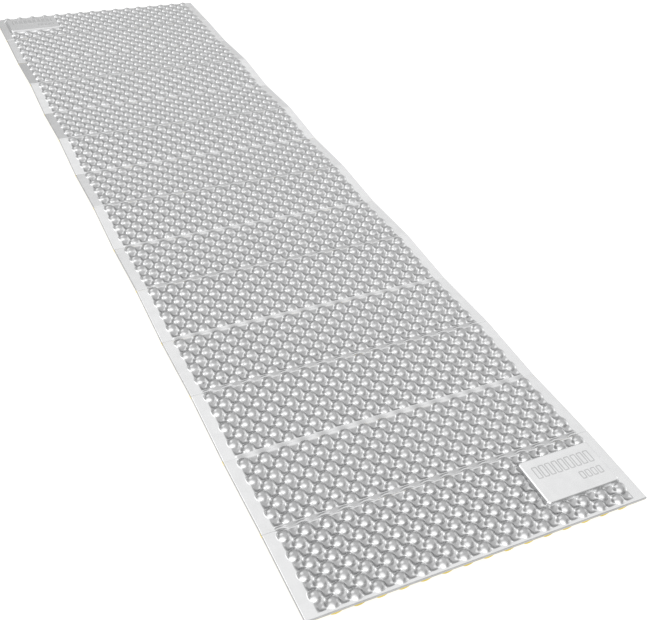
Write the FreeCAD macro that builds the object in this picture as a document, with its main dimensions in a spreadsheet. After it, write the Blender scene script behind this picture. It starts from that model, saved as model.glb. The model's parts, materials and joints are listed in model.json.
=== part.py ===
"""Folding closed-cell foam sleeping pad: fourteen egg-crate panels joined by pressed living hinges.

The pad lies open with its metallised face up: X across it, Y along it and Z up. Odd creases are
mountains, hinged at the foam's lower side, and even creases are valleys, hinged at its upper side,
so the panels stack in a zigzag and the bumps of each nest in the dimples of the next.

In its own frame a panel runs from s = 0 to s = panel_length, and w is its height from mid level.
"""

import FreeCAD, Part
import Sketcher
import math
import os

PANELS = 14
WIDTH_AXIS = FreeCAD.Vector(1, 0, 0)

# Alias, value and meaning of each driving dimension: millimetres, degrees or a count.
DIMENSIONS = [
    ("pad_width", 510, "across the pad"),
    ("panel_length", 130.7, "from one crease to the next"),
    ("fold_pitch", 10, "from one panel's mid level to the next when folded"),
    ("bump_pitch", 15.3, "between a bump and the dimple beside it"),
    ("bump_columns", 31, "bumps and dimples across a panel"),
    ("bump_rows", 8, "bumps and dimples along a panel"),
    ("bump_rise", 6, "from mid slope to a bump's top"),
    ("sheet_thickness", 8.6, "foam and film together, measured upright"),
    ("film_thickness", 0.3, "film alone, measured upright"),
    ("foot_cut", 0.6, "height worn flat on each lower tip"),
    ("margin_thickness", 4.4, "flat margin, foam and film together"),
    ("margin_ramp", 3, "width of the slope from egg-crate to margin"),
    ("hinge_thickness", 1.2, "pressed hinge, foam and film together"),
    ("hinge_half_width", 0.6, "from a crease to the panel's end"),
    ("plaque_columns", 8, "cells across that a plaque covers"),
    ("plaque_rows", 5, "cells along that a plaque covers"),
    ("plaque_first_row", 2, "cells between a plaque and the panel's near end"),
    ("plaque_ramp", 3, "width of the slope round a plaque"),
    ("lift_01", 2.7, "how high crease 1 stands above its neighbours, lying open"),
    ("lift_03", 5.2, "crease 3"),
    ("lift_05", 5.9, "crease 5"),
    ("lift_07", 6.1, "crease 7"),
    ("lift_09", 8.2, "crease 9"),
    ("lift_11", 8.3, "crease 11"),
    ("lift_13", 1.7, "crease 13"),
]

doc = FreeCAD.newDocument("sleeping_pad")


def fill_sheet():
    """The spreadsheet that holds the driving dimensions."""
    cells = doc.addObject("Spreadsheet::Sheet", "Dimensions")
    for row, (alias, value, meaning) in enumerate(DIMENSIONS, start=1):
        cells.set(f"A{row}", meaning)
        cells.set(f"B{row}", str(value))
        cells.setAlias(f"B{row}", alias)
    doc.recompute()
    return cells


sheet = fill_sheet()


def size(alias):
    """A driving dimension, read from the spreadsheet."""
    return float(sheet.get(alias))


def point(x, s, w):
    return FreeCAD.Vector(x, s, w)


# --- where things are on a panel --------------------------------------------------------------

columns = int(size("bump_columns"))
rows = int(size("bump_rows"))
pitch = size("bump_pitch")
half_width = size("pad_width") / 2
core_side = columns * pitch / 2
core_start = (size("panel_length") - rows * pitch) / 2
core_end = core_start + rows * pitch


def corner_xs(first, last):
    """Across-panel places of the cell corners from one column's near side to another's."""
    return [column * pitch - core_side for column in range(first, last + 1)]


def corner_ss(first, last):
    return [core_start + row * pitch for row in range(first, last + 1)]


def is_bump(column, row):
    """Bumps and dimples alternate like a chessboard's squares."""
    return (column + row) % 2 == 1


# --- egg-crate --------------------------------------------------------------------------------

# Each side of a cell: the neighbour's column and row step, and the corner on its right hand and on
# its left hand, as seen from the cell's middle, in half pitches.
SIDES = [
    ((1, 0), (1, -1), (1, 1)),
    ((0, 1), (1, 1), (-1, 1)),
    ((-1, 0), (-1, 1), (-1, -1)),
    ((0, -1), (-1, -1), (1, -1)),
]


def cell_middle(column, row):
    return ((column + 0.5) * pitch - core_side, core_start + (row + 0.5) * pitch)


def tip(column, row, side, level, foot_cut):
    """The points of a cell's tip that one side's facet ends at, its right hand one first."""
    x, s = cell_middle(column, row)
    rise = size("bump_rise")
    if is_bump(column, row):
        return [point(x, s, level + rise)]
    if not foot_cut:
        return [point(x, s, level - rise)]
    reach = foot_cut * pitch / (2 * rise)
    return [point(x + reach * a, s + reach * b, level - rise + foot_cut) for a, b in side[1:]]


def crate_outlines(level, foot_cut, plaque):
    """The flat facets of one egg-crate surface. Neighbouring cells share one facet."""
    outlines = []
    cells = {(c, r) for c in range(columns) for r in range(rows)} - plaque
    for column, row in sorted(cells):
        x, s = cell_middle(column, row)
        foot = []
        for index, side in enumerate(SIDES):
            (step_c, step_r), *hands = side
            right, left = (point(x + a * pitch / 2, s + b * pitch / 2, level) for a, b in hands)
            own = tip(column, row, side, level, foot_cut)
            foot.append(own[0])
            beyond = (column + step_c, row + step_r)
            if beyond not in cells:
                outlines.append([right, left] + own[::-1])
            elif index < 2:
                opposite = tip(*beyond, SIDES[index + 2], level, foot_cut)
                outlines.append([right] + opposite[::-1] + [left] + own[::-1])
        if foot_cut and not is_bump(column, row):
            outlines.append(foot)
    return outlines


def plaque_outlines(level, plaque):
    """A raised flat plaque with sloping sides, over whole cells."""
    if not plaque:
        return []
    first_c, last_c = min(c for c, r in plaque), max(c for c, r in plaque) + 1
    first_r, last_r = min(r for c, r in plaque), max(r for c, r in plaque) + 1
    xs, ss = corner_xs(first_c, last_c), corner_ss(first_r, last_r)
    ramp, top = size("plaque_ramp"), level + size("bump_rise")
    near_left = point(xs[0] + ramp, ss[0] + ramp, top)
    near_right = point(xs[-1] - ramp, ss[0] + ramp, top)
    far_right = point(xs[-1] - ramp, ss[-1] - ramp, top)
    far_left = point(xs[0] + ramp, ss[-1] - ramp, top)
    return [
        [near_left, near_right, far_right, far_left],
        [point(x, ss[0], level) for x in xs] + [near_right, near_left],
        [point(xs[-1], s, level) for s in ss] + [far_right, near_right],
        [point(x, ss[-1], level) for x in reversed(xs)] + [far_left, far_right],
        [point(xs[0], s, level) for s in reversed(ss)] + [near_left, far_left],
    ]


# --- margins and ends -------------------------------------------------------------------------


def margin_outlines(core_level, margin_level, ends):
    """The margins round one egg-crate surface. ends: each end's place along s and its level."""
    outlines = []
    margin_side = core_side + size("margin_ramp")
    for (end_s, end_level), row, start in ((ends[0], 0, core_start), (ends[1], rows, core_end)):
        inner = [point(x, start, core_level) for x in corner_xs(0, columns)]
        outlines.append(inner + [point(core_side, end_s, end_level), point(-core_side, end_s, end_level)])
        for hand in (-1, 1):
            outlines.append(
                [
                    point(hand * core_side, start, core_level),
                    point(hand * margin_side, start, margin_level),
                    point(hand * core_side, end_s, end_level),
                ]
            )
            outlines.append(
                [
                    point(hand * half_width, start, margin_level),
                    point(hand * margin_side, start, margin_level),
                    point(hand * core_side, end_s, end_level),
                    point(hand * half_width, end_s, end_level),
                ]
            )
    for hand in (-1, 1):
        outlines.append(
            [
                point(hand * half_width, core_start, margin_level),
                point(hand * margin_side, core_start, margin_level),
                point(hand * margin_side, core_end, margin_level),
                point(hand * half_width, core_end, margin_level),
            ]
        )
        inner = [point(hand * core_side, s, core_level) for s in corner_ss(0, rows)]
        outlines.append(
            inner
            + [
                point(hand * margin_side, core_end, margin_level),
                point(hand * margin_side, core_start, margin_level),
            ]
        )
    return outlines


def rim_outlines(lower, upper, lower_ends, upper_ends):
    """The upright faces that close a panel at its long sides and its two ends."""
    outlines = []
    for hand in (-1, 1):
        profile = [lower_ends[0], (core_start, lower), (core_end, lower), lower_ends[1]]
        profile += [upper_ends[1], (core_end, upper), (core_start, upper), upper_ends[0]]
        outlines.append([point(hand * half_width, s, w) for s, w in profile])
    for below, above in zip(lower_ends, upper_ends):
        across = [-half_width, -core_side, core_side, half_width]
        outlines.append([point(x, *below) for x in across] + [point(x, *above) for x in across[::-1]])
    return outlines


def solid_between(surfaces, rim):
    """One solid from the outlines of its lower and upper surface and of its rim."""
    faces = [Part.Face(Part.makePolygon(o + [o[0]])) for o in surfaces[0] + surfaces[1] + rim]
    sewn = Part.makeCompound(faces)
    sewn.sewShape()
    solid = Part.makeSolid(sewn.Shells[0])
    if solid.Volume < 0:
        solid.reverse()
    return solid


# --- a panel's layers -------------------------------------------------------------------------


def crease_levels(crease):
    """Lower side, foam's upper side and film's upper side where a panel meets a crease or an end."""
    film = size("film_thickness")
    if crease in (0, PANELS):
        upper = size("margin_thickness") / 2
        lower = -upper
    elif crease % 2:
        lower = -size("fold_pitch") / 2
        upper = lower + size("hinge_thickness")
    else:
        upper = size("fold_pitch") / 2
        lower = upper - size("hinge_thickness")
    return lower, upper - film, upper


def panel_ends(panel, layer):
    """Each end's place along the panel and the level of one of its three surfaces there."""
    inset = size("hinge_half_width")
    near, far = panel - 1, panel
    near_s = inset if near else 0
    far_s = size("panel_length") - (inset if far != PANELS else 0)
    return [(near_s, crease_levels(near)[layer]), (far_s, crease_levels(far)[layer])]


def plaque_cells(panel):
    """The cells that a plaque replaces: at the right of the first panel, at the left of the last."""
    if panel not in (1, PANELS):
        return set()
    wide, first_row = int(size("plaque_columns")), int(size("plaque_first_row"))
    first = columns - wide if panel == 1 else 0
    deep = range(first_row, first_row + int(size("plaque_rows")))
    return {(c, r) for c in range(first, first + wide) for r in deep}


def surface_outlines(panel, layer, foot_cut):
    """One of a panel's surfaces: 0 under the foam, 1 between foam and film, 2 over the film."""
    film, half_sheet = size("film_thickness"), size("sheet_thickness") / 2
    half_margin = size("margin_thickness") / 2
    core_level = (-half_sheet, half_sheet - film, half_sheet)[layer]
    margin_level = (-half_margin, half_margin - film, half_margin)[layer]
    plaque = plaque_cells(panel)
    outlines = crate_outlines(core_level, foot_cut, plaque)
    outlines += plaque_outlines(core_level, plaque)
    outlines += margin_outlines(core_level, margin_level, panel_ends(panel, layer))
    return outlines, margin_level


def layer_shape(panel, lower_layer):
    """The solid between two neighbouring surfaces of a panel: its foam or its film."""
    foot_cut = size("foot_cut") if lower_layer == 0 else 0
    lower, lower_margin = surface_outlines(panel, lower_layer, foot_cut)
    upper, upper_margin = surface_outlines(panel, lower_layer + 1, 0)
    ends = [panel_ends(panel, layer) for layer in (lower_layer, lower_layer + 1)]
    return solid_between((lower, upper), rim_outlines(lower_margin, upper_margin, *ends))


# --- the pad lying open -----------------------------------------------------------------------


def crease_of_tilt(panel):
    """The mountain crease that a panel leans up to."""
    return panel if panel % 2 else panel - 1


def tilt(panel):
    """A panel's tilt in degrees, positive where it rises towards +Y."""
    lift = size(f"lift_{crease_of_tilt(panel):02d}")
    lean = math.degrees(math.asin(lift / size("panel_length")))
    return lean if panel % 2 else -lean


def hinge_level(crease):
    """Height of a crease's hinge line from its panels' mid level."""
    return size("fold_pitch") / 2 * (-1 if crease % 2 else 1)


def turn(degrees):
    return FreeCAD.Rotation(WIDTH_AXIS, degrees)


def open_places():
    """Each panel's placement, chained from hinge to hinge, and each hinge line's point."""
    places, hinges = {}, {}
    origin = point(0, 0, 0)
    for panel in range(1, PANELS + 1):
        places[panel] = FreeCAD.Placement(origin, turn(tilt(panel)))
        if panel < PANELS:
            on_hinge = point(0, size("panel_length"), hinge_level(panel))
            hinges[panel] = places[panel].multVec(on_hinge)
            origin = hinges[panel] - turn(tilt(panel + 1)).multVec(point(0, 0, hinge_level(panel)))
    return places, hinges


# --- hinges -----------------------------------------------------------------------------------


def lean_formula(panel):
    """The angle that a panel leans by, as a spreadsheet expression."""
    return f"asin(Dimensions.lift_{crease_of_tilt(panel):02d} / Dimensions.panel_length)"


def draw_bent_section(sketch, crease):
    """The hinge's cross-section: two corners and the hinge line on one side, two corners opposite.

    The hinge line is at the sketch's origin. The strip lies above it at a mountain crease and
    below it at a valley crease, and its ends are square to the panels that they meet.
    """
    up = 1 if crease % 2 else -1
    reach, deep = size("hinge_half_width"), size("hinge_thickness")
    section = [(-reach, 0), (0, 0), (reach, 0), (reach, up * deep), (-reach, up * deep)]
    corners = [FreeCAD.Vector(y, z, 0) for y, z in section]
    for start, end in zip(corners, corners[1:] + corners[:1]):
        sketch.addGeometry(Part.LineSegment(start, end), False)
    for line in range(len(corners)):
        sketch.addConstraint(Sketcher.Constraint("Coincident", line, 2, (line + 1) % len(corners), 1))
    left, line_point, right, far_right, far_left = ((line, 1) for line in range(len(corners)))
    origin, upright = (-1, 1), -2
    sketch.addConstraint(Sketcher.Constraint("Coincident", *line_point, *origin))
    sketch.addConstraint(Sketcher.Constraint("Symmetric", *left, *right, upright))
    sketch.addConstraint(Sketcher.Constraint("Symmetric", *far_left, *far_right, upright))

    half_bend = f"(({lean_formula(crease)} + {lean_formula(crease + 1)}) / 2)"
    reach, deep = "Dimensions.hinge_half_width", "Dimensions.hinge_thickness"
    droop = (left, line_point) if up > 0 else (line_point, left)
    height = (left, far_left) if up > 0 else (far_left, left)
    for kind, (start, end), formula in (
        ("DistanceX", (left, right), f"2 * {reach} * cos{half_bend}"),
        ("DistanceY", droop, f"{reach} * sin{half_bend}"),
        ("DistanceX", (far_left, left), f"{deep} * sin{half_bend}"),
        ("DistanceY", height, f"{deep} * cos{half_bend}"),
    ):
        index = sketch.addConstraint(Sketcher.Constraint(kind, *start, *end, size("hinge_half_width")))
        sketch.setExpression(f"Constraints[{index}]", formula)


def make_hinge(crease, where):
    """A pressed strip of foam and film, bent as it lies and flush with both panels' ends."""
    body = doc.addObject("PartDesign::Body", f"fold_hinge_{crease:02d}")
    sketch = body.newObject("Sketcher::SketchObject", f"bent_section_{crease:02d}")
    plane = next(f for f in body.Origin.OriginFeatures if f.Role == "YZ_Plane")
    sketch.AttachmentSupport = (plane, [""])
    sketch.MapMode = "FlatFace"
    draw_bent_section(sketch, crease)
    strip = body.newObject("PartDesign::Pad", f"strip_{crease:02d}")
    strip.Profile = sketch
    strip.SideType = "Symmetric"
    strip.setExpression("Length", "Dimensions.pad_width")
    body.Placement = FreeCAD.Placement(where, turn((tilt(crease) + tilt(crease + 1)) / 2))
    return body


# --- the document's objects -------------------------------------------------------------------


def make_layer(name, shape, place):
    layer = doc.addObject("Part::Feature", name)
    layer.Shape = shape.copy()
    layer.Placement = place
    return layer


def panel_kind(panel):
    """Panels of one kind have one shape: the first, the last, and the odd and even ones between."""
    return panel if panel in (1, PANELS) else 2 + panel % 2


def make_pad():
    """All the pad's pieces, lying open with its lowest feet at Z = 0 and its middle over the origin."""
    places, hinges = open_places()
    shapes = {}
    for panel in range(1, PANELS + 1):
        kind = panel_kind(panel)
        if kind not in shapes:
            shapes[kind] = (layer_shape(panel, 0), layer_shape(panel, 1))
    box = FreeCAD.BoundBox()
    for panel, place in places.items():
        posed = shapes[panel_kind(panel)][0].copy()
        posed.Placement = place
        box.add(posed.BoundBox)
    shift = point(0, -box.Center.y, -box.ZMin)
    pieces = []
    for panel, place in places.items():
        lying = FreeCAD.Placement(place.Base + shift, place.Rotation)
        foam, film = shapes[panel_kind(panel)]
        pieces.append(make_layer(f"foam_panel_{panel:02d}", foam, lying))
        pieces.append(make_layer(f"film_panel_{panel:02d}", film, lying))
    for crease, where in hinges.items():
        pieces.append(make_hinge(crease, where + shift))
    doc.recompute()
    return pieces


def check_pieces(pieces):
    """Stops before anything is written if an object failed or a piece isn't one sound solid."""
    for made in doc.Objects:
        if "Invalid" in made.State or "Error" in made.State:
            raise RuntimeError(f"{made.Name} failed: {made.State}")
    for piece in pieces:
        shape = piece.Shape
        if shape.isNull() or not shape.isValid() or len(shape.Solids) != 1 or shape.Volume <= 0:
            raise RuntimeError(f"{piece.Label} isn't one valid solid")


def write_pieces(pieces):
    os.makedirs("parts", exist_ok=True)
    for piece in pieces:
        piece.Shape.exportStep(f"parts/{piece.Label}.step")


def print_hinge_lines(pieces):
    """Each hinge line's place and rest bend, for the joints that turn on them."""
    for piece in pieces:
        if piece.Label.startswith("fold_hinge"):
            crease = int(piece.Label[-2:])
            at = piece.Placement.Base
            bend = abs(tilt(crease)) + abs(tilt(crease + 1))
            print(f"{piece.Label}: y {at.y:.4f} z {at.z:.4f} rest bend {bend:.4f} degrees")


pad_pieces = make_pad()
check_pieces(pad_pieces)
write_pieces(pad_pieces)
print_hinge_lines(pad_pieces)
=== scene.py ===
"""A folding foam sleeping pad lying open: silver egg-crate film over yellow foam, in fourteen panels.

Lengths are in metres. A panel has its own coordinates: x across the pad, s along it from the
panel's near crease, and w up from its mid level. A crease has y, the distance past its hinge line.
"""

import json
import math

import bpy
import numpy as np
from mathutils import Matrix, Vector


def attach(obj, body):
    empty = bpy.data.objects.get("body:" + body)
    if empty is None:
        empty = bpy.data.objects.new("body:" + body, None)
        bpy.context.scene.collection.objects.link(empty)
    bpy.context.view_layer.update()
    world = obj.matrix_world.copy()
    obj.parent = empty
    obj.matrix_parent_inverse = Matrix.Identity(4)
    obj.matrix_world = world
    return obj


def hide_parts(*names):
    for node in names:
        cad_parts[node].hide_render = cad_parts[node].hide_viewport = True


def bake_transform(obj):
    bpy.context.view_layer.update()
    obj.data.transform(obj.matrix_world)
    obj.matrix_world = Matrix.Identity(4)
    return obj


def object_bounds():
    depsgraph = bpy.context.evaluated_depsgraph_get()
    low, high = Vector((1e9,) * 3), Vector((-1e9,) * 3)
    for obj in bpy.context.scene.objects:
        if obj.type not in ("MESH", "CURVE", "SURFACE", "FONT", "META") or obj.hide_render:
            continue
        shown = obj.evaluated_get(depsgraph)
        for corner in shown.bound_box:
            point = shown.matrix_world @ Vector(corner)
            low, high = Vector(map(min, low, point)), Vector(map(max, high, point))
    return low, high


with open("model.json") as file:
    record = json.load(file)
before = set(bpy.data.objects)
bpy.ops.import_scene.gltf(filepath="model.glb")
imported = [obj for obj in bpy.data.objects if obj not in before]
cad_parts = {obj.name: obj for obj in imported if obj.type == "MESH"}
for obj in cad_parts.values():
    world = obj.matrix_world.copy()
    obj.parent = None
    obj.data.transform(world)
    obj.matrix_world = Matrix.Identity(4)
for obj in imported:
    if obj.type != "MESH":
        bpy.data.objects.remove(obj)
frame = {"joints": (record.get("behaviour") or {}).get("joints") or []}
cad_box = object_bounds()

MM = 0.001

# --- the pad's sizes, as in the CAD ---
PANELS = 14
COLUMNS, ROWS = 31, 8
BUMP_PITCH = 15.3 * MM
FOLD_PITCH = 10 * MM
HALF_MARGIN = 2.2 * MM
FILM = 0.3 * MM
MARGIN_RAMP = 3 * MM
PLAQUE_COLUMNS, PLAQUE_ROWS, PLAQUE_FIRST_ROW = 8, 5, 2
HALF_WIDTH = cad_box[1][0]
CORE_SIDE = COLUMNS * BUMP_PITCH / 2

# --- how finely surfaces are divided ---
CELL_STEPS = 8
WRINKLED_CELL_STEPS = 18
PLAQUE_CELL_STEPS = 22
STRIP_LINES = [0, 0.25, 0.55, 0.9, 1.3, 1.75, 2.25, 2.8, 3.5]
EDGE_STEPS = [0, 0.25, 0.7, 1.3, 2.2]

# --- creases ---
STRIP_HALF = 3.5 * MM
WAVE = 1.7 * MM
GROOVE_FLOOR = 1.4 * MM
GROOVE_FLAT = 0.7 * MM
GROOVE_BEAD = 0.6 * MM

# --- the egg-crate: levels outwards from mid level, face 1 for the upper and -1 for the lower ---
BUMP_TOP = 8.15 * MM, 10.2 * MM  # top level and radius of a knob on the upper face
FOOT_TOP = 10.2 * MM, 7.4 * MM  # the same on the lower face
KNOB_STEEPEST = math.radians(62)
KNOB_UNEVEN = 0.08 * MM
KNOB_FILLET = 0.7 * MM
SADDLE = {1: 3.2 * MM, -1: 4.1 * MM}  # level of the ridges between knobs
DIMPLE_DEPTH = {1: 4.2 * MM, -1: 5.4 * MM}
DIMPLE_POWER = 0.8
SIDE_BLEND = 3.5 * MM
PRESSED_LINE = 0.2 * MM
SCALLOP = 3.2 * MM
EDGE_ROUND = 1.3 * MM
LIP = 3.8 * MM

# --- plaques ---
PLAQUE_TOP = 8.6 * MM
PLAQUE_ROUND = 7 * MM
PLAQUE_RAMP = 4.2 * MM
STROKE = 1.1 * MM
EMBOSS = 0.35 * MM


def smooth(t):
    """0 to 1 with level ends, for t from 0 to 1."""
    t = np.clip(t, 0, 1)
    return t * t * (3 - 2 * t)


def mix(a, b, t):
    return a + (b - a) * t


# --- where each panel lies --------------------------------------------------------------------


def hinge_level(crease):
    """Odd creases are hinged below the panels' mid level and even ones above it."""
    return FOLD_PITCH / 2 * (-1 if crease % 2 else 1)


def joint_of(crease):
    return next(j for j in frame["joints"] if j["name"] == f"crease_{crease:02d}")


HINGES = {c: np.array(joint_of(c)["pos_m"][1:], float) for c in range(1, PANELS)}
PANEL_LENGTH = math.sqrt(np.sum((HINGES[3] - HINGES[2]) ** 2) - FOLD_PITCH**2)
CORE_START = (PANEL_LENGTH - ROWS * BUMP_PITCH) / 2


def rest_bend(crease):
    """The angle between a crease's two panels as the pad lies open."""
    return math.pi - math.radians(joint_of(crease)["range_deg"][1])


def panel_tilts():
    """Each panel's tilt, positive where it rises towards +Y. The end panels have one hinge each."""
    tilts = {}
    for panel in range(2, PANELS):
        along, up = HINGES[panel] - HINGES[panel - 1]
        across_sheet = math.atan2(hinge_level(panel) - hinge_level(panel - 1), PANEL_LENGTH)
        tilts[panel] = math.atan2(up, along) - across_sheet
    tilts[1] = tilts[2] + rest_bend(1)
    tilts[PANELS] = tilts[PANELS - 1] - rest_bend(PANELS - 1)
    return tilts


TILTS = panel_tilts()


def placed(panel, x, s, w):
    """Panel coordinates as points of the row frame, in an array with the shape of x, s and w."""
    c, n = math.cos(TILTS[panel]), math.sin(TILTS[panel])
    if panel > 1:
        near, from_s, from_w = HINGES[panel - 1], 0, hinge_level(panel - 1)
    else:
        near, from_s, from_w = HINGES[1], PANEL_LENGTH, hinge_level(1)
    x, s, w = np.broadcast_arrays(x, s - from_s, w - from_w)
    return np.stack([x, near[0] + s * c - w * n, near[1] + s * n + w * c], axis=-1)


# --- the sheet's shape ------------------------------------------------------------------------
#
# Both faces of the sheet have the same shape, one the other's counterpart. A face is 1 for the film's
# upper face or -1 for the foam's lower one, and its levels are measured outwards from mid level.


def plaque_rectangle(panel):
    """Low and high corners in x and s of the cells that a plaque covers, or None."""
    if panel not in (1, PANELS):
        return None
    first = COLUMNS - PLAQUE_COLUMNS if panel == 1 else 0
    low = np.array([first * BUMP_PITCH - CORE_SIDE, CORE_START + PLAQUE_FIRST_ROW * BUMP_PITCH])
    return low, low + np.array([PLAQUE_COLUMNS, PLAQUE_ROWS]) * BUMP_PITCH


def inside_rounded(x, s, low, high, radius):
    """Distance inside a rounded rectangle, negative outside it."""
    middle, half = (low + high) / 2, (high - low) / 2 - radius
    dx, ds = np.abs(x - middle[0]) - half[0], np.abs(s - middle[1]) - half[1]
    outside = np.hypot(np.maximum(dx, 0), np.maximum(ds, 0))
    return radius - outside - np.minimum(np.maximum(dx, ds), 0)


def cells_at(x, s):
    return (x + CORE_SIDE) / BUMP_PITCH, (s - CORE_START) / BUMP_PITCH


def knob_level(panel, x, s, face):
    """Level of a face's rounded knobs. Each stands in the middle of every second cell."""
    u, v = cells_at(x, s)
    level = np.full(np.broadcast(u, v).shape, -1.0)
    rectangle = plaque_rectangle(panel)
    for across in (-1, 0, 1):
        for along in (-1, 0, 1):
            column, row = np.floor(u) + across, np.floor(v) + along
            there = (column >= 0) & (column < COLUMNS) & (row >= 0) & (row < ROWS)
            there &= (column + row) % 2 == (1 if face > 0 else 0)
            if rectangle is not None:
                low, high = (np.round(cells_at(*corner)) for corner in rectangle)
                there &= ~((column >= low[0]) & (column < high[0]) & (row >= low[1]) & (row < high[1]))
            uneven = KNOB_UNEVEN * np.sin(12.9 * column + 78.2 * row + 37.7 * panel)
            away = BUMP_PITCH * np.hypot(u - column - 0.5, v - row - 0.5)
            knob = knob_profile(away, face) + uneven
            level = np.where(there, np.maximum(level, knob), level)
    return level


def knob_profile(away, face):
    """Level of a knob at a distance from its middle: a ball's cap, then a straight slope."""
    top, radius = BUMP_TOP if face > 0 else FOOT_TOP
    edge = radius * math.sin(KNOB_STEEPEST)
    cap = top - radius + np.sqrt(radius**2 - np.minimum(away, edge) ** 2)
    return cap - math.tan(KNOB_STEEPEST) * np.maximum(away - edge, 0)


def between_level(x, s, face):
    """Level of a face between its knobs: low ridges from knob to knob round pointed dimples."""
    u, v = cells_at(x, s)
    u, v = np.clip(u, 0, COLUMNS), np.clip(v, 0, ROWS)
    q = -face * np.sin(math.pi * u) * np.sin(math.pi * v)
    return SADDLE[face] - DIMPLE_DEPTH[face] * np.maximum(-q, 0) ** DIMPLE_POWER


def face_level(panel, x, s, face):
    """A face's level over a panel, up to the strips that cross its creases."""
    side = smooth((np.abs(x) - CORE_SIDE) / SIDE_BLEND + 1)
    level = mix(between_level(x, s, face), HALF_MARGIN, side)
    for distance, crease in ((s, panel - 1), (PANEL_LENGTH - s, panel)):
        if crease_kind(crease) == "end":
            level = mix(HALF_MARGIN, level, smooth((distance - CORE_START + 1 * MM) / (3 * MM)))
        elif is_ridge(crease, face):
            share = 1 - smooth((distance - STRIP_HALF) / (3.5 * MM))
            level = mix(level, mix(SADDLE[face], HALF_MARGIN, side), share)
    rectangle = plaque_rectangle(panel)
    if rectangle is not None:
        covered = inside_rounded(x, s, *rectangle, 0.01 * MM) > 0
        depth = np.clip(inside_rounded(x, s, *rectangle, PLAQUE_ROUND) / PLAQUE_RAMP, 0, 1)
        raised = (PLAQUE_TOP - SADDLE[1]) * np.sqrt(1 - (1 - depth) ** 2)
        level = np.where(covered, SADDLE[face] + face * raised, level)
    return join_knobs(level, knob_level(panel, x, s, face))


def groove_level(crease, x, b, face):
    """A face's level between the knobs at a crease. b is the distance past its pressed line."""
    side = smooth((np.abs(x) - CORE_SIDE) / SIDE_BLEND + 1)
    around = mix(SADDLE[face], HALF_MARGIN, side)
    if is_ridge(crease, face):
        level = around - PRESSED_LINE * np.exp(-((b / (0.45 * MM)) ** 2))
    else:
        reach = mix(2.4 * MM, 1.2 * MM, side)
        share = 1 - smooth((np.abs(b) - GROOVE_FLAT * (1 - side / 2)) / reach)
        level = mix(around, GROOVE_FLOOR, share)
        level += GROOVE_BEAD * (1 - side) * np.exp(-((b / (0.5 * MM)) ** 2))
    return level


def knobs_beside(crease, x, y, face):
    """Level of the knobs of a crease's two panels. y is the distance past the hinge."""
    near = knob_level(crease, x, PANEL_LENGTH + y, face)
    return np.maximum(near, knob_level(crease + 1, x, y, face))


def join_knobs(level, knob):
    return (level + knob + np.sqrt((level - knob) ** 2 + KNOB_FILLET**2)) / 2


def is_ridge(crease, face):
    """A mountain crease is a groove in the upper face and a ridge in the lower one."""
    return (crease_kind(crease) == "valley") == (face > 0)


def emboss_height(panel, x, s):
    """The blank motif pressed in a plaque: outlined blocks in a long row and a short one."""
    rectangle = plaque_rectangle(panel)
    if rectangle is None:
        return np.zeros(np.broadcast(x, s).shape)
    low, high = rectangle
    raised = 0
    for count, left, right, near, far in ((9, 0.10, 0.90, 0.52, 0.80), (4, 0.58, 0.90, 0.24, 0.42)):
        a = low + (high - low) * np.array([left, near])
        b = low + (high - low) * np.array([right, far])
        pitch = (b[0] - a[0]) / count
        x_block = a[0] + np.clip(np.floor((x - a[0]) / pitch), 0, count - 1) * pitch
        near_corner = np.stack([x_block + 0.08 * pitch, np.full_like(x, a[1])])
        far_corner = np.stack([x_block + 0.92 * pitch, np.full_like(x, b[1])])
        inside = inside_rounded(x, s, near_corner, far_corner, 0.2 * pitch)
        raised = np.maximum(raised, 1 - smooth(np.abs(inside - STROKE) / STROKE))
    return EMBOSS * raised


def scallop(panel, x):
    """Bumps of the underside that the pad's end cuts through, between those of the last row."""
    phase = (x + CORE_SIDE) / (2 * BUMP_PITCH) - (0.75 if panel == 1 else 0.25)
    inside = smooth((CORE_SIDE - np.abs(x)) / (4 * MM) + 0.5)
    return SCALLOP * np.maximum(np.cos(2 * math.pi * phase), 0) ** 0.7 * inside


def crease_kind(crease):
    if crease in (0, PANELS):
        return "end"
    return "mountain" if crease % 2 else "valley"


# --- meshes -----------------------------------------------------------------------------------


def quad_mesh(name, points, quads, kinds=None):
    mesh = bpy.data.meshes.new(name)
    mesh.vertices.add(len(points))
    mesh.vertices.foreach_set("co", points.astype(np.float32).ravel())
    mesh.loops.add(quads.size)
    mesh.loops.foreach_set("vertex_index", quads.astype(np.int32).ravel())
    mesh.polygons.add(len(quads))
    mesh.polygons.foreach_set("loop_start", np.arange(0, quads.size, 4, dtype=np.int32))
    if kinds is not None:
        mesh.polygons.foreach_set("material_index", kinds.astype(np.int32))
    mesh.update(calc_edges=True)
    mesh.validate()
    mesh.polygons.foreach_set("use_smooth", np.ones(len(quads), bool))
    mesh.set_sharp_from_angle(angle=math.radians(55))
    piece = bpy.data.objects.new(name, mesh)
    bpy.context.scene.collection.objects.link(piece)
    return piece


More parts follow.
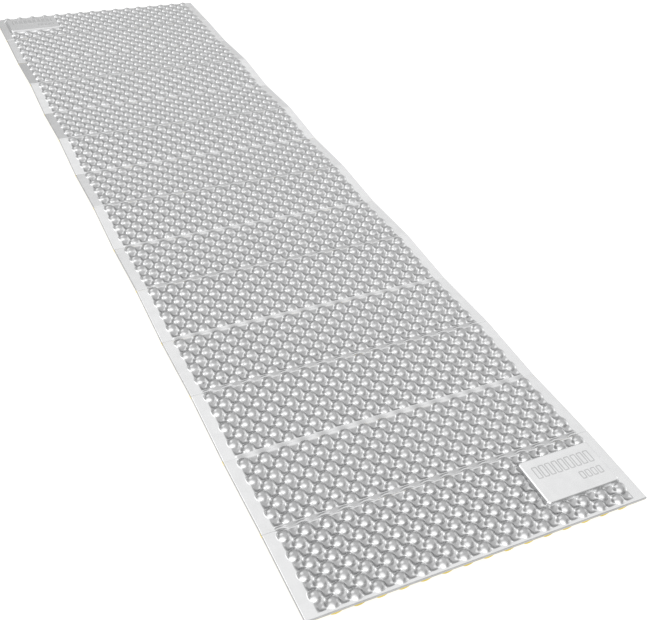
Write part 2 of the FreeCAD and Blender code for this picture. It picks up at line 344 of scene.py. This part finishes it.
def closed_sheet(name, top, bottom, painted_shade=None):
    """A closed mesh between two grids of points. Faces of the upper grid get material 0, others 1.

    stretch, one number for each point of the upper grid, says how much the film's colour is darkened
    there with painted shade.
    """
    ni, nj = top.shape[:2]
    index = np.arange(ni * nj).reshape(ni, nj)
    a, b, c, d = index[:-1, :-1], index[1:, :-1], index[1:, 1:], index[:-1, 1:]
    upper = np.stack([a, b, c, d], -1).reshape(-1, 4)
    lower = upper[:, ::-1] + ni * nj
    rims = []
    for line in (index[:, 0], index[-1, :], index[::-1, -1], index[::-1][::-1][0, ::-1]):
        rims.append(np.stack([line[:-1] + ni * nj, line[1:] + ni * nj, line[1:], line[:-1]], -1))
    quads = np.concatenate([upper, lower, *rims])
    kinds = np.ones(len(quads), int)
    kinds[: len(upper)] = 0
    points = np.concatenate([top.reshape(-1, 3), bottom.reshape(-1, 3)])
    piece = quad_mesh(name, points, quads, kinds)
    if painted_shade is not None:
        # Stores the painted shade mask that darkens the film's colour.
        stored = piece.data.attributes.new("painted_shade", "FLOAT", "POINT")
        stored.data.foreach_set("value", np.tile(painted_shade.ravel(), 2).astype(np.float32))
    return piece


def cell_lines(start, steps_of_cell):
    """Places of grid lines through a run of cells, each with its own number of steps."""
    lines = [start]
    for steps in steps_of_cell:
        lines += [lines[-1] + BUMP_PITCH * (k + 1) / steps for k in range(steps)]
    return lines


def x_lines(panel):
    """Grid lines across a panel, closer over a plaque and at the long edges."""
    steps = [CELL_STEPS] * COLUMNS
    if panel == 1:
        steps[-PLAQUE_COLUMNS:] = [PLAQUE_CELL_STEPS] * PLAQUE_COLUMNS
    if panel == PANELS:
        steps[:PLAQUE_COLUMNS] = [PLAQUE_CELL_STEPS] * PLAQUE_COLUMNS
    margin = HALF_WIDTH - CORE_SIDE
    ramp = [MARGIN_RAMP * k / 5 for k in range(1, 5)]
    flat = np.linspace(MARGIN_RAMP, margin - EDGE_STEPS[-1] * MM, 6)
    outwards = ramp + list(flat) + [margin - e * MM for e in EDGE_STEPS[-2::-1]]
    core = cell_lines(-CORE_SIDE, steps)
    return np.array([-CORE_SIDE - d for d in outwards[::-1]] + core + [CORE_SIDE + d for d in outwards])


def s_lines(panel):
    """Grid lines along a panel, closer by a mountain crease, where the film is wrinkled."""
    steps = [CELL_STEPS] * ROWS
    steps[0 if panel % 2 == 0 else -1] = WRINKLED_CELL_STEPS
    if panel in (1, PANELS):
        last = PLAQUE_FIRST_ROW + PLAQUE_ROWS
        steps[PLAQUE_FIRST_ROW:last] = [PLAQUE_CELL_STEPS] * PLAQUE_ROWS
    core = cell_lines(CORE_START, steps)
    edge = [e * MM for e in EDGE_STEPS] + [3.2 * MM]
    near = edge if panel == 1 else [STRIP_HALF]
    far = [PANEL_LENGTH - e for e in (edge if panel == PANELS else [STRIP_HALF])][::-1]
    return np.array(near + core + far)


def edge_distance(panel, x, s):
    """Distance to the pad's own outer edge."""
    distance = HALF_WIDTH - np.abs(x)
    if panel == 1:
        distance = np.minimum(distance, s)
    if panel == PANELS:
        distance = np.minimum(distance, PANEL_LENGTH - s)
    return distance


def edge_drop(distance):
    """How far the film's upper side is below the margin's level, by its rounded edge."""
    reach = np.clip(1 - distance / EDGE_ROUND, 0, 1)
    return EDGE_ROUND * (1 - np.sqrt(np.clip(1 - reach**2, 0, 1)))


def wrinkles(panel, x, s):
    """Low waves in the film over a panel, and sharper ones on the bumps before a mountain crease."""
    gentle = np.sin(x / (23 * MM) + 1.3 * panel) * np.sin(s / (17 * MM) + 2.1 * panel + x / (41 * MM))
    if panel % 2 == 0:
        return 0.06 * MM * gentle
    y = PANEL_LENGTH - s
    sharp = np.sin(y / (0.5 * MM) + 0.9 * np.cos(math.pi * x / BUMP_PITCH))
    on_bump = smooth((knob_level(panel, x, s, 1) - SADDLE[1] - 1 * MM) / (2 * MM))
    return 0.06 * MM * gentle + 0.18 * MM * sharp * on_bump * (1 - smooth((y - 9 * MM) / (5 * MM)))


def panel_surfaces(panel):
    """Grids of points on the film's upper and lower sides and on the foam's lower side."""
    x, s = np.meshgrid(x_lines(panel), s_lines(panel), indexing="ij")
    away = edge_distance(panel, x, s)
    top = face_level(panel, x, s, 1) + emboss_height(panel, x, s) + wrinkles(panel, x, s)
    top -= edge_drop(away)
    bottom = -face_level(panel, x, s, -1)
    for distance, crease in ((s, panel - 1), (PANEL_LENGTH - s, panel)):
        if crease_kind(crease) == "end":
            bottom -= scallop(panel, x) * smooth((CORE_START + 1.5 * MM - distance) / (4 * MM))
    return x, s, top, bottom, away


def film_painted_shade(panel, x, s):
    """Painted shade on the film: 0 where it lies flat and keeps its full colour, 1 over knobs and
    dimples, on the plaque's rim and motif strokes and at the rounded edge, where its colour is darkened
    to stand in for shading.
    """
    over_bump = smooth((knob_level(panel, x, s, 1) - SADDLE[1]) / (3 * MM))
    in_dimple = smooth((SADDLE[1] - between_level(x, s, 1)) / (1 * MM))
    rectangle = plaque_rectangle(panel)
    if rectangle is not None:
        outside = inside_rounded(x, s, *rectangle, 0.01 * MM) <= 0
        rim = 1 - smooth(inside_rounded(x, s, *rectangle, PLAQUE_ROUND) / (2.6 * MM))
        # Painted shade outlines the plaque's rim and the motif's strokes.
        in_dimple = np.where(outside, in_dimple, np.maximum(rim, emboss_height(panel, x, s) / EMBOSS))
    at_edge = 1 - smooth(edge_distance(panel, x, s) / EDGE_ROUND)
    return np.maximum(np.maximum(over_bump, in_dimple), at_edge)


def make_panel(panel, film_look, foam_look):
    x, s, top, bottom, away = panel_surfaces(panel)
    at_edge = away < 0.01 * MM
    film_under = np.where(at_edge, top - LIP + EDGE_ROUND, top - FILM)
    skin = closed_sheet(
        f"film_skin_{panel:02d}",
        placed(panel, x, s, top),
        placed(panel, x, s, film_under),
        film_painted_shade(panel, x, s),
    )
    foam_x = np.clip(x, 0.2 * MM - HALF_WIDTH, HALF_WIDTH - 0.2 * MM)
    foam_s = s
    if panel == 1:
        foam_s = np.maximum(s, 0.2 * MM)
    if panel == PANELS:
        foam_s = np.minimum(s, PANEL_LENGTH - 0.2 * MM)
    foam_top = np.where(at_edge, top - LIP + EDGE_ROUND - 0.05 * MM, top - FILM - 0.03 * MM)
    foam = closed_sheet(
        f"foam_sheet_{panel:02d}",
        placed(panel, foam_x, foam_s, foam_top),
        placed(panel, foam_x, foam_s, np.minimum(bottom, foam_top - 0.3 * MM)),
    )
    for piece, look, slot, node in (
        (skin, film_look, "film", f"film_panel_{panel:02d}"),
        (foam, foam_look, "foam", f"foam_panel_{panel:02d}"),
    ):
        piece.data.materials.append(look)
        piece.data.materials.append(look)
        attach(piece, f"panel_{panel:02d}")
        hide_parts(node)


def crease_wave(x, b):
    """How far the pressed line strays from the hinge's line between the bumps on its two sides."""
    phase = (x + CORE_SIDE) / (2 * BUMP_PITCH) - 0.75
    inside = 1 - smooth((np.abs(x) - CORE_SIDE + 4 * MM) / (6 * MM))
    return -WAVE * np.cos(2 * math.pi * phase) * inside * (1 - (b / STRIP_HALF) ** 2) ** 2


def make_strip(crease, film_look, foam_look):
    """The laminate across a crease, shaped to the crease's bend as the pad lies open."""
    finest = 1 if crease == 1 else PANELS if crease == PANELS - 1 else 2
    half = np.array(STRIP_LINES) * MM
    x, b = np.meshgrid(x_lines(finest), np.concatenate([-half[:0:-1], half]), indexing="ij")
    y = b + (crease_wave(x, b) if crease_kind(crease) == "mountain" else 0)
    grooves = {face: groove_level(crease, x, b, face) for face in (1, -1)}
    knobs = {face: knobs_beside(crease, x, y, face) for face in (1, -1)}
    away = edge_distance(0, x, y)
    top = join_knobs(grooves[1], knobs[1]) - edge_drop(away)
    bottom = -join_knobs(grooves[-1], knobs[-1])
    turn = smooth((y / STRIP_HALF + 1) / 2)[..., None]

    def bent(w):
        return mix(placed(crease, x, PANEL_LENGTH + y, w), placed(crease + 1, x, y, w), turn)

    # Painted shade on the strip's film: darker over the knobs, at the rounded edge, on both sides of a
    # mountain crease's pressed line, and in patches every second cell along a valley crease.
    over_bump = smooth((knobs[1] - grooves[1]) / (1.5 * MM))
    painted_shade = np.maximum(over_bump, 1 - smooth(away / EDGE_ROUND))
    if crease_kind(crease) == "mountain":
        beside = 0.8 * (1 - np.exp(-((b / (0.7 * MM)) ** 2))) * (np.abs(x) < CORE_SIDE)
    else:
        at_bump = math.pi * (cells_at(x, 0)[0] - 0.5)
        beside = 0.7 * (0.5 + 0.5 * np.cos(at_bump)) * (np.abs(x) < CORE_SIDE)
    painted_shade = np.maximum(painted_shade, beside)
    strip = closed_sheet(f"fold_strip_{crease:02d}", bent(top), bent(bottom), painted_shade)
    strip.data.materials.append(film_look)
    strip.data.materials.append(foam_look)
    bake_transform(strip)
    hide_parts(f"fold_hinge_{crease:02d}")


# --- materials --------------------------------------------------------------------------------


def new_material(name):
    material = bpy.data.materials.new(name)
    material.use_nodes = True
    nodes, links = material.node_tree.nodes, material.node_tree.links
    return material, nodes, links, nodes["Principled BSDF"]


def add_noise(nodes, links, scale, detail, place):
    noise = nodes.new("ShaderNodeTexNoise")
    noise.inputs["Scale"].default_value = scale
    noise.inputs["Detail"].default_value = detail
    links.new(place, noise.inputs["Vector"])
    return noise.outputs["Fac"]


def add_range(nodes, links, value, low, high, from_low=0.3, from_high=0.7):
    spread = nodes.new("ShaderNodeMapRange")
    spread.inputs["From Min"].default_value = from_low
    spread.inputs["From Max"].default_value = from_high
    spread.inputs["To Min"].default_value = low
    spread.inputs["To Max"].default_value = high
    links.new(value, spread.inputs["Value"])
    return spread.outputs["Result"]


def add_bump(nodes, links, height, strength, distance, before=None):
    bump = nodes.new("ShaderNodeBump")
    bump.inputs["Strength"].default_value = strength
    bump.inputs["Distance"].default_value = distance
    links.new(height, bump.inputs["Height"])
    if before is not None:
        links.new(before, bump.inputs["Normal"])
    return bump.outputs["Normal"]


def add_ramp(nodes, links, value, stops):
    ramp = nodes.new("ShaderNodeValToRGB")
    ramp.color_ramp.elements[0].position, ramp.color_ramp.elements[0].color = stops[0]
    ramp.color_ramp.elements[1].position, ramp.color_ramp.elements[1].color = stops[-1]
    for position, colour in stops[1:-1]:
        ramp.color_ramp.elements.new(position).color = colour
    links.new(value, ramp.inputs["Fac"])
    return ramp.outputs["Color"]


def film_material():
    """Satin metallised film, faintly crinkled. Its colour is darkened with painted shade over bumps,
    dimples and other shaped places, and it is a touch rougher there.
    """
    material, nodes, links, shader = new_material("metallised_film")
    place = nodes.new("ShaderNodeTexCoord").outputs["Object"]
    shader.inputs["Metallic"].default_value = 1.0
    painted_shade_node = nodes.new("ShaderNodeAttribute")
    painted_shade_node.attribute_name = "painted_shade"
    cloud = add_noise(nodes, links, 60, 3, place)
    fine = add_noise(nodes, links, 420, 4, place)
    crinkle = add_noise(nodes, links, 150, 6, place)
    # Painted shade: the mask mixes the film's colour from about 0.8 on flat film down to about 0.45,
    # standing in for the shading of the knobs and other shapes.
    flat = add_ramp(nodes, links, cloud, [(0.3, (0.78, 0.783, 0.787, 1)), (0.7, (0.82, 0.823, 0.827, 1))])
    shaded_film_colour = add_ramp(nodes, links, cloud, [(0.3, (0.42, 0.422, 0.425, 1)), (0.7, (0.49, 0.492, 0.495, 1))])
    colour = nodes.new("ShaderNodeMix")
    colour.data_type = "RGBA"
    links.new(painted_shade_node.outputs["Fac"], colour.inputs["Factor"])
    links.new(flat, colour.inputs[6])
    links.new(shaded_film_colour, colour.inputs[7])
    links.new(colour.outputs[2], shader.inputs["Base Color"])
    gloss = add_range(nodes, links, painted_shade_node.outputs["Fac"], 0.25, 0.28, 0, 1)
    links.new(gloss, shader.inputs["Roughness"])
    normal = add_bump(nodes, links, crinkle, 0.12, 0.0004)
    normal = add_bump(nodes, links, fine, 0.06, 0.0001, normal)
    links.new(normal, shader.inputs["Normal"])
    return material


def foam_material():
    """Yellow closed-cell foam with a matt skin of fine cells."""
    material, nodes, links, shader = new_material("closed_cell_foam")
    place = nodes.new("ShaderNodeTexCoord").outputs["Object"]
    shader.inputs["Roughness"].default_value = 0.62
    shader.inputs["Specular IOR Level"].default_value = 0.3
    cloud = add_noise(nodes, links, 30, 4, place)
    colour = add_ramp(nodes, links, cloud, [(0.25, (0.58, 0.44, 0.06, 1)), (0.75, (0.72, 0.56, 0.10, 1))])
    links.new(colour, shader.inputs["Base Color"])
    cells = nodes.new("ShaderNodeTexVoronoi")
    cells.inputs["Scale"].default_value = 1500
    links.new(place, cells.inputs["Vector"])
    normal = add_bump(nodes, links, cells.outputs["Distance"], 0.4, 0.0003)
    links.new(normal, shader.inputs["Normal"])
    return material


def floor_material():
    material, nodes, links, shader = new_material("pale_floor")
    shader.inputs["Base Color"].default_value = (0.25, 0.25, 0.25, 1)
    shader.inputs["Emission Color"].default_value = (1, 1, 1, 1)
    shader.inputs["Emission Strength"].default_value = 0.85
    shader.inputs["Roughness"].default_value = 0.9
    shader.inputs["Specular IOR Level"].default_value = 0.1
    return material


# --- camera and light -------------------------------------------------------------------------

CAMERA_PLACE = Vector((-0.5844, -1.4531, 0.9633))
CAMERA_TURN, CAMERA_DOWN, CAMERA_ROLL = 28.145, 38.405, -5.436
FOCAL_SHARE = 942.65 / 650
SENSOR = 36.0
SHIFT = (0.0354, 0.0015)


def make_camera():
    data = bpy.data.cameras.new("camera")
    data.sensor_width = SENSOR
    data.lens = FOCAL_SHARE * SENSOR
    data.shift_x, data.shift_y = SHIFT
    data.clip_start, data.clip_end = 0.01, 100
    camera = bpy.data.objects.new("camera", data)
    bpy.context.scene.collection.objects.link(camera)
    turn, down = math.radians(CAMERA_TURN), math.radians(CAMERA_DOWN)
    ahead = Vector((math.sin(turn) * math.cos(down), math.cos(turn) * math.cos(down), -math.sin(down)))
    level_right = ahead.cross(Vector((0, 0, 1))).normalized()
    rolled = Matrix.Rotation(math.radians(CAMERA_ROLL), 3, ahead)
    right = rolled @ level_right
    above = right.cross(ahead)
    rotation = Matrix((right, above, -ahead)).transposed()
    camera.matrix_world = Matrix.Translation(CAMERA_PLACE) @ rotation.to_4x4()
    bpy.context.scene.camera = camera


# The room's lights: bearing from +Y towards +X and elevation of the middle, half-width, softness of
# the edge (all in degrees) and brightness. Where they overlap the brighter one shows.
ROOM_LIGHTS = [
    (0, 90, 60, 16, 1.00),
    (0, -90, 150, 20, 0.48),
    (24, 50, 30, 14, 1.02),
    (70, 2, 58, 15, 0.80),
    (84, 16, 20, 10, 1.40),
    (218, 26, 44, 20, 2.0),
    (325, 50, 19, 13, 2.1),
]


def make_world():
    """The room whose soft lights fall on the pad and show in its film. The camera sees plain white."""
    world = bpy.data.worlds.new("studio")
    bpy.context.scene.world = world
    world.use_nodes = True
    nodes, links = world.node_tree.nodes, world.node_tree.links
    where = nodes.new("ShaderNodeTexCoord").outputs["Generated"]
    total = None
    for turn, rise, wide, soft, shade in ROOM_LIGHTS:
        facing = nodes.new("ShaderNodeVectorMath")
        facing.operation = "DOT_PRODUCT"
        turn, rise = math.radians(turn), math.radians(rise)
        facing.inputs[1].default_value = (
            math.sin(turn) * math.cos(rise),
            math.cos(turn) * math.cos(rise),
            math.sin(rise),
        )
        links.new(where, facing.inputs[0])
        low, high = math.cos(math.radians(wide + soft)), math.cos(math.radians(wide - soft))
        patch = add_range(nodes, links, facing.outputs["Value"], 0, shade, low, high)
        patch.node.interpolation_type = "SMOOTHSTEP"
        if total is None:
            total = patch
        else:
            larger = nodes.new("ShaderNodeMath")
            larger.operation = "MAXIMUM"
            links.new(total, larger.inputs[0])
            links.new(patch, larger.inputs[1])
            total = larger.outputs[0]
    room = nodes["Background"]
    links.new(total, room.inputs["Color"])
    backdrop = nodes.new("ShaderNodeBackground")
    backdrop.inputs["Color"].default_value = (1, 1, 1, 1)
    path = nodes.new("ShaderNodeLightPath")
    either = nodes.new("ShaderNodeMixShader")
    links.new(path.outputs["Is Camera Ray"], either.inputs["Fac"])
    links.new(room.outputs["Background"], either.inputs[1])
    links.new(backdrop.outputs["Background"], either.inputs[2])
    links.new(either.outputs["Shader"], nodes["World Output"].inputs["Surface"])


def make_floor(look):
    bpy.ops.mesh.primitive_plane_add(size=40, location=(0, 0, -0.0005))
    floor = bpy.context.object
    floor.name = "floor"
    floor.data.materials.append(look)


def main():
    make_camera()
    make_world()
    make_floor(floor_material())
    film_look, foam_look = film_material(), foam_material()
    for panel in range(1, PANELS + 1):
        make_panel(panel, film_look, foam_look)
    for crease in range(1, PANELS):
        make_strip(crease, film_look, foam_look)
    bpy.context.scene.view_settings.view_transform = "Standard"


main()
